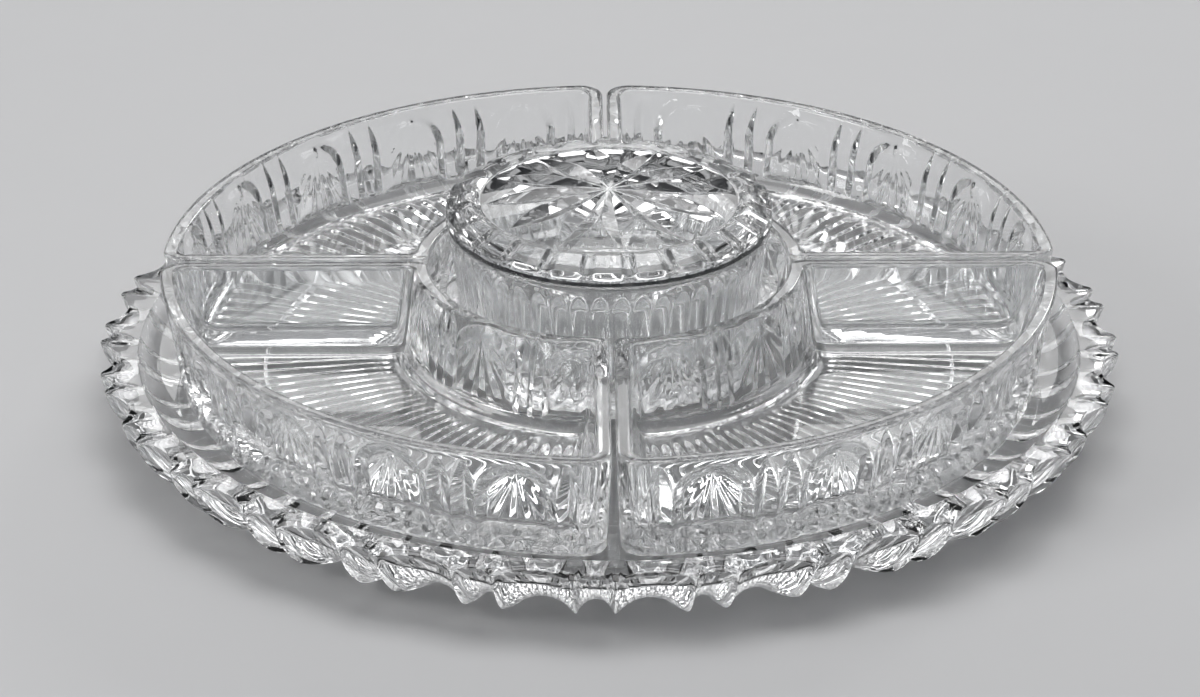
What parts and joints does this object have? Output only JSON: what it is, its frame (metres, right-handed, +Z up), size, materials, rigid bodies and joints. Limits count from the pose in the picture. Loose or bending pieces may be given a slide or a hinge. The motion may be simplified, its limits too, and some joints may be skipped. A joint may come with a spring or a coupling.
{
  "type": "sectioned relish tray",
  "caption": "Clear pressed-glass serving set: a fluted round tray carrying quarter-ring dishes around a lidded centre bowl, all lifting out",
  "frame": {"origin": "centre of the plane that the tray rests on", "axes": "+Z up along the set's axis; the gaps between the dishes run along X and Y; the side shown to the camera faces -Y"},
  "size_m": [0.33, 0.33, 0.0753],
  "materials": {
    "tray_glass": "clear pressed glass, fire polished",
    "dish_glass": "clear pressed glass, fire polished",
    "bowl_glass": "clear pressed glass, fire polished",
    "lid_glass": "clear pressed glass, fire polished"
  },
  "bodies": {
    "tray": {"tray": "tray_glass"},
    "dish_front_left": {"dish_front_left": "dish_glass"},
    "dish_front_right": {"dish_front_right": "dish_glass"},
    "dish_back_right": {"dish_back_right": "dish_glass"},
    "dish_back_left": {"dish_back_left": "dish_glass"},
    "bowl": {"bowl": "bowl_glass"},
    "lid": {"lid": "lid_glass"}
  },
  "joints": [
    {"name": "dish_front_left_lift", "type": "slide", "parent": "tray", "child": "dish_front_left", "axis": [0, 0, 1], "range_m": [0, 0.06]},
    {"name": "dish_front_right_lift", "type": "slide", "parent": "tray", "child": "dish_front_right", "axis": [0, 0, 1], "range_m": [0, 0.06]},
    {"name": "dish_back_right_lift", "type": "slide", "parent": "tray", "child": "dish_back_right", "axis": [0, 0, 1], "range_m": [0, 0.06]},
    {"name": "dish_back_left_lift", "type": "slide", "parent": "tray", "child": "dish_back_left", "axis": [0, 0, 1], "range_m": [0, 0.06]},
    {"name": "bowl_lift", "type": "slide", "parent": "tray", "child": "bowl", "axis": [0, 0, 1], "range_m": [0, 0.06]},
    {"name": "lid_lift", "type": "slide", "parent": "bowl", "child": "lid", "axis": [0, 0, 1], "range_m": [0, 0.04]}
  ]
}
